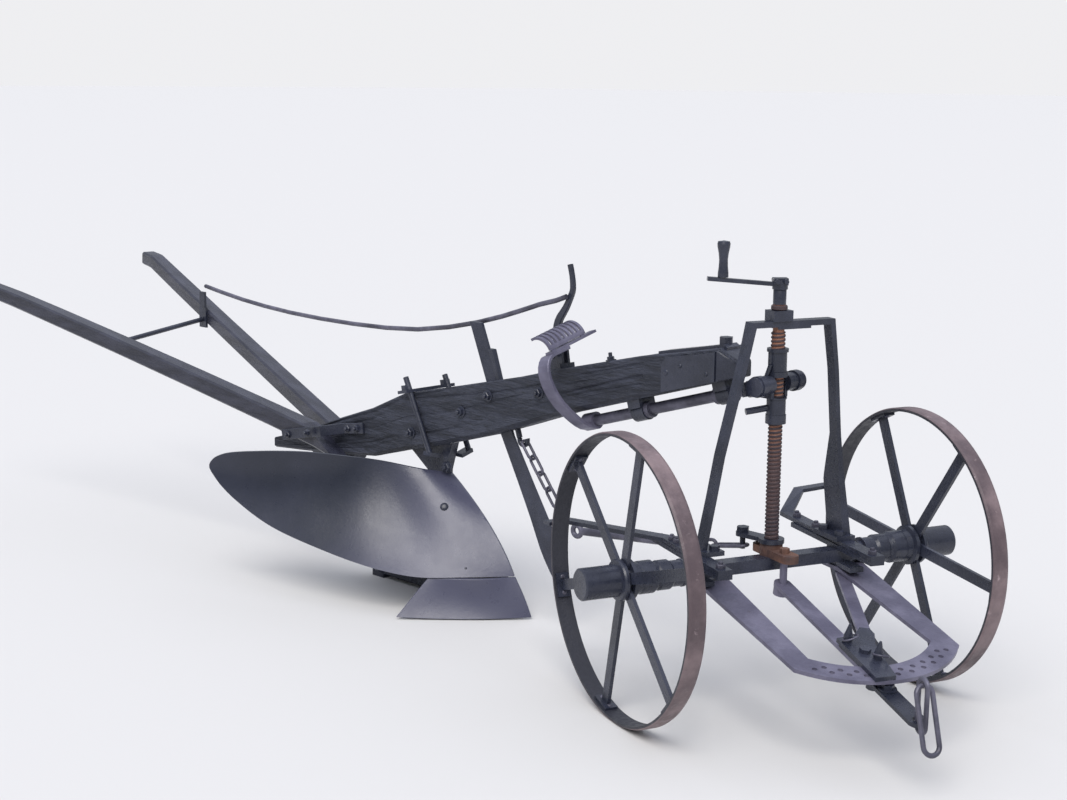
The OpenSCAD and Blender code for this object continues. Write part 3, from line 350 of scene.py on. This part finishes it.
# Beam: the loft of the source, finer and with long cracks and grain, in millimetres. Places round the
# section run from 0 to 8: the left side, top, right side and underside begin at 0, 2, 4 and 6, with the
# arrises between them. Ahead of smoothFrom only smoothShare of the depth is left.
beamSettings = {"columns": 96, "rows": 420, "seed": 7, "sides": (0, 4, 2, 6), "perSide": 14,
                "start": (-1660, -420), "length": (120, 620), "across": (0.08, 0.92),
                "wave": (60, 140), "phase": (0, 6), "slant": (-0.12, 0.12), "slantLength": 600,
                "sway": 0.03, "width": (0.02, 0.035), "depth": (1.2, 3.2), "fade": 60,
                "grainLayers": 5, "grainDepth": 0.12, "grainRound": (34, 13), "grainAlong": (90, 31),
                "grainBend": (170, 40), "smoothFrom": -330, "smoothShare": 0.12, "ease": 3, "lean": 0.25}
# Rows: x, underside, top, half of the width, chamfer below
beamRows = np.array([
    [-1672, 290, 318, 42.5, 6], [-1557, 299, 350, 42.5, 6], [-1384, 314.5, 413, 42.5, 8],
    [-1253, 329.5, 457, 42.5, 10], [-1127, 364.5, 512, 42.5, 12], [-992, 399.5, 542, 42.5, 12],
    [-849, 440.5, 575, 42.5, 12], [-713, 486.5, 606, 42.5, 12], [-583, 532.47, 641, 42.5, 12],
    [-340, 604.45, 699, 42.5, 12], [-300, 616.3, 706.6, 42.5, 3], [-193, 647.99, 727, 42.5, 3],
    [-125, 668.13, 741, 42.5, 3], [-87, 679.39, 715, 24, 3]])


# Depth of the cracks and the grain at stations xs and places v round the section. A crack is
# depth * exp(-((v - path(x)) / width)^2) inside its span, and fades out at its ends.
def crackDepth(settings, xs, v):
    rng = np.random.default_rng(settings["seed"])
    depth = np.zeros((len(xs), v.shape[1]))
    for side in settings["sides"]:
        for _ in range(settings["perSide"]):
            start = rng.uniform(*settings["start"])
            length = rng.uniform(*settings["length"])
            middle = side + rng.uniform(*settings["across"])
            wave = rng.uniform(*settings["wave"])
            phase = rng.uniform(*settings["phase"])
            slant = rng.uniform(*settings["slant"])
            wander = settings["sway"] * np.sin(xs / wave + phase)
            wander = wander + slant * (xs - start) / settings["slantLength"]
            fadeIn = np.clip((xs - start) / settings["fade"], 0, 1)
            fadeOut = np.clip((start + length - xs) / settings["fade"], 0, 1)
            width = rng.uniform(*settings["width"])
            deepest = rng.uniform(*settings["depth"])
            depth += fadeIn * fadeOut * deepest * np.exp(-((v - middle - wander) / width) ** 2)
    for k in range(settings["grainLayers"]):
        # first value and growth from one layer to the next
        turns, waveLength, bendLength = (
            settings[key][0] + settings[key][1] * k for key in ("grainRound", "grainAlong", "grainBend"))
        bend = 2 * np.sin(xs / bendLength)
        depth += settings["grainDepth"] * (1 + np.sin(v * turns + xs / waveLength + bend))
    return np.where(xs > settings["smoothFrom"], settings["smoothShare"] * depth, depth)


# The depth pushes each side straight in; on top, underside and arrises the share lean narrows the beam
def makeBeam(settings):
    even = np.linspace(beamRows[0, 0], beamRows[-1, 0], settings["rows"])
    x = np.sort(np.concatenate([even, beamRows[1:-1, 0]]))
    low, top, half, chamfer = (np.interp(x, beamRows[:, 0], beamRows[:, k]) for k in range(1, 5))
    ease = settings["ease"]
    # corner points round the section: left side up, top, right side down, bottom
    y = np.stack([half, half, half - ease, ease - half, -half, -half, chamfer - half, half - chamfer], 1)
    z = np.stack([low + chamfer, top - ease, top, top, top - ease, low + chamfer, low, low], 1)
    fine = 3 * (settings["columns"] // 8)
    ys, zs, vs = [], [], []
    for k, count in enumerate([fine, 1] * 4):
        f = np.linspace(0, 1, count, endpoint=False)[None]
        n = (k + 1) % 8
        ys.append(y[:, k:k + 1] * (1 - f) + y[:, n:n + 1] * f)
        zs.append(z[:, k:k + 1] * (1 - f) + z[:, n:n + 1] * f)
        vs.append(k + f[0])
    ys = np.concatenate(ys, 1)
    zs = np.concatenate(zs, 1)
    v = np.concatenate(vs)[None]
    xs = x[:, None]
    depth = crackDepth(settings, xs, v)
    middle = ((low + top) / 2)[:, None]
    side = np.floor(v + 1e-6) % 8
    sideways = np.where((side == 0) | (side == 4), 1.0, settings["lean"])
    upward = np.where((side == 2) | (side == 6), 1.0, 0.0)
    ys = ys - np.sign(ys) * depth * sideways
    zs = zs - np.sign(zs - middle) * depth * upward
    points = np.stack([np.broadcast_to(xs, ys.shape), ys, zs], -1).reshape(-1, 3) / 1000
    faces = ringFaces(len(x), ys.shape[1]) + endFaces(len(x), ys.shape[1])
    return makePiece("beamWood", "plough", "beam_wood", placed(plough, points), faces,
                     replaced=("beam",), smoothAngle=24)


makeBeam(beamSettings)
print("beam done")

# Moldboard and share in millimetres. Stations: low edge x, y, z, high edge x, y, z, hollow, bulge;
# thick is at the low and at the high edge, and round is the length of the rounded end in stations.
boardSettings = {
    "rows": 120, "columns": 30, "thick": (7, 6), "round": 0.55,
    "stations": [[-779, 8, 100, -1004, 8, 320, 0, 26], [-868, -92, 98, -1042, -60, 334, 12, 18],
                 [-948, -165, 97, -1126, -120, 350, 26, 8], [-1043, -228, 114, -1200, -180, 360, 32, 0],
                 [-1180, -272, 140, -1295, -235, 363, 30, 0], [-1335, -308, 176, -1400, -292, 356, 20, 0],
                 [-1455, -333, 230, -1490, -332, 342, 8, 0], [-1528, -350, 284, -1540, -353, 317, 0, 0]]}
shareSettings = {
    "rows": 60, "columns": 16, "thick": (3, 8), "round": 0,
    "stations": [[-726, 16, 6, -777, 8, 97, 0, 4], [-800, -70, 3, -824, -60, 96, 6, 0],
                 [-878, -150, 3, -872, -100, 95, 6, 0], [-952, -222, 6, -926, -142, 94, 2, 0]]}
plateSettings = {"back": (-0.55, 0.83, 0.12), "tip": 0.004, "bevel": 0.0012, "segments": 2, "angle": 50}
# Painted highlight on the moldboard: its colour lightens toward the front, where light falls on it
frontHighlightSettings = {"from": -0.06, "to": 0.20, "colour": (0.070, 0.072, 0.112)}


# The board's finish grows lighter toward the front, a painted highlight where light falls: tone = mix(base,
# colour, smoothstep of x)
def paintedFrontHighlight(settings):
    material = makeFinish("boardFinish", finishes["mould_iron"])
    tree = material.node_tree
    ahead = splitAxes(tree, coordinates(tree))["X"]
    # mask of the painted highlight, rising along x toward the board's front
    highlightZone = mapRange(tree, ahead, settings["from"], settings["to"], smooth=True)
    recolour(material, highlightZone, colourOf(material), settings["colour"])
    return material


boardFinish = paintedFrontHighlight(frontHighlightSettings)


# Plate from a ruled surface with a hollow and a bulge, on smooth cubics through its stations:
# point(u, v) = mix(low, high, v) + 4 v (1 - v) * (back * hollow + x * bulge); the plate lies behind it
def makePlate(name, node, settings):
    stations = np.array(settings["stations"], float)
    last = len(stations) - 1
    u = np.linspace(0, last, settings["rows"])
    i = np.minimum(u.astype(int), last - 1)
    t = (u - i)[:, None]
    a, b, c, d = (stations[np.clip(i + k, 0, last)] for k in (-1, 0, 1, 2))
    square = 2 * a - 5 * b + 4 * c - d
    cube = 3 * b - a - 3 * c + d
    row = (0.5 * (2 * b + (c - a) * t + square * t ** 2 + cube * t ** 3))[:, None]
    v = np.linspace(0, 1, settings["columns"])[None]
    if settings["round"]:
        s = np.clip((u - (last - settings["round"])) / settings["round"], 0, 1)[:, None]
        v = 0.5 + (v - 0.5) * np.sqrt(np.clip(1 - s ** 2, plateSettings["tip"], 1))
    else:
        v = np.repeat(v, len(u), 0)
    v = v[..., None]
    hump = 4 * v * (1 - v)
    back = np.array(plateSettings["back"]) / np.linalg.norm(plateSettings["back"])
    face = row[..., 0:3] * (1 - v) + row[..., 3:6] * v + back * hump * row[..., 6:7]
    face = face + hump * row[..., 7:8] * np.array([1, 0, 0])
    thick = settings["thick"][0] * (1 - v) + settings["thick"][1] * v
    behind = face + back * thick
    ring = np.concatenate([face, behind[:, ::-1]], 1)
    n = ring.shape[1]
    base = (len(u) - 1) * n
    faces = ringFaces(len(u), n)
    faces += [[k, n - 1 - k, n - 2 - k, k + 1] for k in range(n // 2 - 1)]
    faces += [[base + k, base + k + 1, base + n - 2 - k, base + n - 1 - k] for k in range(n // 2 - 1)]
    piece = makePiece(name, "plough", "mould_iron", placed(plough, ring.reshape(-1, 3) / 1000), faces,
                      replaced=(node,), smoothAngle=40)
    piece.data.materials[0] = boardFinish
    bevel = piece.modifiers.new("rim", "BEVEL")
    bevel.width = plateSettings["bevel"]
    bevel.segments = plateSettings["segments"]
    bevel.limit_method = "ANGLE"
    bevel.angle_limit = math.radians(plateSettings["angle"])
    return piece


makePlate("moldboardPlate", "moldboard", boardSettings)
makePlate("sharePlate", "share", shareSettings)
print("plates done")

# Height screw in millimetres; profiles are height and radius. flank is the share of a turn over which the
# thread rises, and the root takes rest flanks to each side. The finish's limits are in metres.
screwSettings = {
    "low": 340, "top": 785, "crest": 15.0, "root": 13.2, "pitch": 8.3, "flank": 0.12, "rest": 1.3,
    "sides": 44, "perTurn": 14, "plainSides": 32,
    "plain": ([[319, 10], [341, 10]], [[784, 12], [845, 12]],
              [[830.5, 15], [832, 17], [838.5, 17], [840.5, 15]]),
    "sleeve": [[842, 12], [842, 13.6], [871, 13.6], [873, 12.6]],
    "crestColour": (0.030, 0.024, 0.034), "grooveColour": (0.33, 0.15, 0.09),
    "grooveLow": (0.085, 0.055, 0.060), "crestFrom": 0.0138, "crestTo": 0.0146,
    "brightFrom": 0.50, "brightTo": 0.60, "patches": 0.12, "mottle": 0.25}


# The thread's finish: dark crests and rusty grooves by the distance from the axis, brighter rust above
def threadFinish(settings):
    material = makeFinish("threadRust", dict(finishes["rusty_iron"], patches=settings["patches"]))
    tree = material.node_tree
    place = coordinates(tree)
    radius = axisDistance(tree, vectorStep(tree, "SUBTRACT", place, screwFoot), (1, 1, 0))
    upper = mapRange(tree, splitAxes(tree, place)["Z"], settings["brightFrom"], settings["brightTo"])
    groove = mixColours(tree, upper, settings["grooveLow"], settings["grooveColour"])
    crest = mapRange(tree, radius, settings["crestFrom"], settings["crestTo"])
    painted = mixColours(tree, crest, groove, settings["crestColour"])
    recolour(material, settings["mottle"], painted, colourOf(material))
    return material


# Flat-crested thread: radius = root + (crest - root) * rise(phase), phase = z / pitch - angle / 2 pi
def makeScrew(settings):
    sides = settings["sides"]
    rows = int((settings["top"] - settings["low"]) / settings["pitch"] * settings["perTurn"])
    z = np.linspace(settings["low"], settings["top"], rows)[:, None]
    angle = np.arange(sides) * 2 * np.pi / sides
    phase = (z / settings["pitch"] - angle[None] / (2 * np.pi)) % 1
    rise = np.clip((0.5 - np.abs(phase - 0.5)) / settings["flank"] - settings["rest"], 0, 1)
    r = settings["root"] + (settings["crest"] - settings["root"]) * rise
    points = np.stack([r * np.cos(angle), r * np.sin(angle), np.broadcast_to(z, r.shape)], -1)
    batch = Batch()
    batch.add(placed(carriage, points.reshape(-1, 3) / 1000), ringFaces(rows, sides) + endFaces(rows, sides))
    for profile in settings["plain"]:
        batch.add(*turned(np.array(profile) / 1000, carriage, settings["plainSides"]))
    piece = batch.piece("screwThread", "screw", "rusty_iron", replaced=("screw",), smoothAngle=40)
    piece.data.materials[0] = threadFinish(settings)
    neck = Batch()
    neck.add(*turned(np.array(settings["sleeve"]) / 1000, carriage, settings["plainSides"]))
    neck.piece("screwNeck", "screw", "slate_paint")


makeScrew(screwSettings)
print("screw done")

# Nuts and rivets; rows: place in millimetres, axis, size, spin in degrees
up = (0, 0, 1)
right = (0, -1, 0)
left = (0, 1, 0)
topSlope = (-0.19, 0, 0.98)
ploughNuts = [
    ((-820, -42.5, 547), right, "beam", 12), ((-915, -42.5, 495), right, "beam", 40),
    ((-1100, -42.5, 416), right, "beam", 25), ((-649, -42.5, 577), right, "beam", 5),
    ((-1341, -48.7, 392), right, "strap", 15), ((-1306, -48.7, 397), right, "strap", 40),
    ((-1522, -106, 357), right, "strap", 0), ((-1440, -106, 374), right, "strap", 30),
    ((-1341, 48.7, 341), left, "strap", 15), ((-437, -30, 676), topSlope, "hook", 0),
    ((-640, -6, 662), right, "small", 0), ((-1000, -9, 340), right, "frog", 0),
    ((-1090, -9, 250), right, "frog", 20)]
carriageNuts = [
    ((-90, -173, 333), up, "clamp", 10), ((-118, -173, 333), up, "clampSmall", 30),
    ((-120, 173, 333), up, "clamp", 10), ((-215, 177, 333), up, "clamp", 35),
    ((118, -173, 333), up, "clamp", 0), ((118, 173, 333), up, "clamp", 22)]
# Rivets of the shoe: place, radius; all are equally high
shoeRivets = {"height": 2.6,
              "rows": (((-262, -47.5, 673), 7), ((-222, -47.5, 692), 5), ((-150, -47.5, 683), 5))}

batch = Batch()
for place, axis, size, spin in ploughNuts:
    addNut(batch, facing(plough, place, axis), size, spin)
for place, r in shoeRivets["rows"]:
    addDome(batch, facing(plough, place, right), r, shoeRivets["height"])
batch.piece("ploughNuts", "plough", "slate_paint")

batch = Batch()
for place, axis, size, spin in carriageNuts:
    addNut(batch, facing(irons, place, axis), size, spin)
batch.piece("carriageNuts", "carriage", "bare_iron")
print("nuts done")

# Wire rings that hold the draught pins, in metres; rows: pin's x and y, tilts about X and Y in degrees
ringSettings = {"radius": 0.0155, "wire": 0.0018, "rows": 28, "columns": 8, "ahead": 0.008, "height": 0.0205,
                "pins": ((0.277, -0.007, 18, 24), (0.351, 0.017, -14, 20))}
rows = ringSettings["rows"]
columns = ringSettings["columns"]
around = np.linspace(0, 2 * np.pi, rows, endpoint=False)[:, None]
small = np.linspace(0, 2 * np.pi, columns, endpoint=False)[None]
reach = ringSettings["radius"] + ringSettings["wire"] * np.cos(small)
lift = np.repeat(ringSettings["wire"] * np.sin(small), rows, 0)
wireRing = np.stack([reach * np.cos(around), reach * np.sin(around), lift], -1)
closing = (rows - 1) * columns
faces = ringFaces(rows, columns)
faces += [[closing + k, closing + (k + 1) % columns, (k + 1) % columns, k] for k in range(columns)]
faces = [face[::-1] for face in faces]  # outwards: the wire's own circle runs left-handed about its path
batch = Batch()
for x, y, tiltX, tiltY in ringSettings["pins"]:
    base = drawbar @ shift(x + ringSettings["ahead"], y, ringSettings["height"])
    batch.add(placed(base @ turn(tiltX, "X") @ turn(-tiltY, "Y"), wireRing), faces)
batch.piece("pinRings", "carriage", "bare_iron")

# Iron sheath from the shoe to the nose: sections of the beam let out by a millimetre, in millimetres;
# rows: x, underside, top, half of the width
sheathSettings = {"ease": 6, "soft": 0.002,
                  "rows": ((-129, 667.5, 740.2, 43.6), (-125, 668.6, 740.8, 43.4),
                           (-106, 674.2, 728.5, 34.2), (-86, 680, 715.4, 24.8))}
ease = sheathSettings["ease"]
sections = []
for x, low, top, half in sheathSettings["rows"]:
    sections.append([(x, half, low), (x, half, top - ease), (x, half - ease, top),
                     (x, ease - half, top), (x, -half, top - ease), (x, -half, low)])
rows = len(sections)
columns = len(sections[0])
batch = Batch()
batch.add(placed(plough, np.array(sections) / 1000), ringFaces(rows, columns) + endFaces(rows, columns))
sheath = batch.piece("noseSheath", "plough", "slate_paint")
sheath.modifiers.new("softEdges", "BEVEL").width = sheathSettings["soft"]

# Carriage bolt and small rivet in the moldboard; rows: place, axis, radius, height, in millimetres
boardBolts = (((-962.3, -55.5, 251.6), (0.577, -0.62, 0.531), 10.5, 3.5),
              ((-865, -72.7, 118.1), (0.614, -0.617, 0.491), 3, 1))
batch = Batch()
for place, axis, r, h in boardBolts:
    addDome(batch, facing(plough, place, axis), r, h)
batch.piece("moldboardBolt", "plough", "mould_iron")

# Spoke feet: two rivets on each, in millimetres, on the inside of the rim; first is a spoke's angle
rivetSettings = {"reach": 285, "gap": 17, "r": 5.5, "h": 2.5}
for name, side, first in (("right", -1, 17), ("left", 1, -5)):
    batch = Batch()
    for k in range(wheelSettings["spokes"]):
        spoke = wheelFrame(side) @ turn(-first - 360 / wheelSettings["spokes"] * k, "Y")
        for z in (-rivetSettings["gap"], rivetSettings["gap"]):
            foot = spoke @ shift(rivetSettings["reach"] / 1000, 0, z / 1000) @ turn(-90, "Y")
            addDome(batch, foot, rivetSettings["r"], rivetSettings["h"])
    batch.piece("wheelRivets_" + name, "wheel_" + name, "bare_iron")
print("wheels done")

# Rims: painted inside, worn to rusty metal on the tread, told apart by the distance from the wheel's axis
rimSettings = {"tread": 0.2975, "soft": 0.0012, "inside": (0.026, 0.027, 0.037)}
for name, side in (("right", -1), ("left", 1)):
    material = makeFinish("rimFinish_" + name, finishes["tyre_iron"])
    tree = material.node_tree
    local = tree.nodes.new("ShaderNodeMapping")
    local.vector_type = "TEXTURE"
    local.inputs["Location"].default_value = wheelFrame(side).translation
    local.inputs["Rotation"].default_value = (0, 0, math.radians(steerTurn))
    tree.links.new(coordinates(tree), local.inputs["Vector"])
    radius = axisDistance(tree, local.outputs["Vector"], (1, 0, 1))
    onTread = mapRange(tree, radius, rimSettings["tread"] - rimSettings["soft"], rimSettings["tread"])
    recolour(material, onTread, rimSettings["inside"], colourOf(material))
    nodes["rim_" + name].data.materials[0] = material
print("rims done")

# Camera from the solved perspective: place in metres and directions in the plough's frame
cameraSettings = {"place": (2.183, -2.889, 1.288), "yaw": 45.04, "pitch": 10.28, "roll": 0.547,
                  "lens": 59.47, "sensor": 36}
yaw, pitch, roll = (math.radians(cameraSettings[k]) for k in ("yaw", "pitch", "roll"))
forward = Vector((-math.sin(yaw) * math.cos(pitch), math.cos(yaw) * math.cos(pitch), -math.sin(pitch)))
across = forward.cross(Vector((0, 0, 1))).normalized()
upward = across.cross(forward)
rightward = math.cos(roll) * across + math.sin(roll) * upward
topward = -math.sin(roll) * across + math.cos(roll) * upward
camera = bpy.data.objects.new("camera", bpy.data.cameras.new("camera"))
camera.data.lens = cameraSettings["lens"]
camera.data.sensor_width = cameraSettings["sensor"]
camera.matrix_world = plough @ Matrix.Translation(cameraSettings["place"]) @ Matrix(
    (rightward, topward, -forward)).transposed().to_4x4()
bpy.context.scene.collection.objects.link(camera)
bpy.context.scene.camera = camera

# Pale floor
floorSettings = {"size": 400, "colour": (0.66, 0.65, 0.63), "rough": 0.9}
floorMesh = bpy.data.meshes.new("floor")
half = floorSettings["size"] / 2
floorMesh.from_pydata([(-half, -half, 0), (half, -half, 0), (half, half, 0), (-half, half, 0)],
                      [], [(0, 1, 2, 3)])
floor = bpy.data.objects.new("floor", floorMesh)
bpy.context.scene.collection.objects.link(floor)
floorPaint = bpy.data.materials.new("floorPaint")
floorPaint.use_nodes = True
floorShader = floorPaint.node_tree.nodes["Principled BSDF"]
floorShader.inputs["Base Color"].default_value = (*floorSettings["colour"], 1)
floorShader.inputs["Roughness"].default_value = floorSettings["rough"]
floor.data.materials.append(floorPaint)

# One wide lamp from above the camera
lampSettings = {"from": (0.35, -0.62, 0.85), "spread": 38, "strength": 2.1, "colour": (1, 0.97, 0.93)}
lamp = bpy.data.objects.new("lamp", bpy.data.lights.new("lamp", "SUN"))
lamp.data.angle = math.radians(lampSettings["spread"])
lamp.data.energy = lampSettings["strength"]
lamp.data.color = lampSettings["colour"]
lamp.rotation_euler = Vector(lampSettings["from"]).to_track_quat("Z", "Y").to_euler()
bpy.context.scene.collection.objects.link(lamp)

# Sky: light that rises from the ground's tone to a pale blue, and a plain backdrop for the camera
skySettings = {"ground": (0.16, 0.17, 0.15, 1), "sky": (0.82, 0.86, 1.0, 1), "skyFrom": 0.75,
               "strength": 1.15, "backdrop": (0.86, 0.86, 0.88, 1), "backdropStrength": 1.0}
world = bpy.data.worlds.new("world")
bpy.context.scene.world = world
world.use_nodes = True
tree = world.node_tree
tree.nodes.clear()
worldOutput = tree.nodes.new("ShaderNodeOutputWorld")
mixer = tree.nodes.new("ShaderNodeMixShader")
sky = tree.nodes.new("ShaderNodeBackground")
backdrop = tree.nodes.new("ShaderNodeBackground")
direction = tree.nodes.new("ShaderNodeTexCoord")
skyRamp = tree.nodes.new("ShaderNodeValToRGB")
skyRamp.color_ramp.elements[0].position = 0.0
skyRamp.color_ramp.elements[0].color = skySettings["ground"]
skyRamp.color_ramp.elements[1].position = skySettings["skyFrom"]
skyRamp.color_ramp.elements[1].color = skySettings["sky"]
tree.links.new(splitAxes(tree, direction.outputs["Generated"])["Z"], skyRamp.inputs[0])
tree.links.new(skyRamp.outputs[0], sky.inputs["Color"])
sky.inputs["Strength"].default_value = skySettings["strength"]
backdrop.inputs["Color"].default_value = skySettings["backdrop"]
backdrop.inputs["Strength"].default_value = skySettings["backdropStrength"]
rays = tree.nodes.new("ShaderNodeLightPath")
tree.links.new(rays.outputs["Is Camera Ray"], mixer.inputs[0])
tree.links.new(sky.outputs[0], mixer.inputs[1])
tree.links.new(backdrop.outputs[0], mixer.inputs[2])
tree.links.new(mixer.outputs[0], worldOutput.inputs["Surface"])
bpy.context.scene.view_settings.view_transform = "Standard"
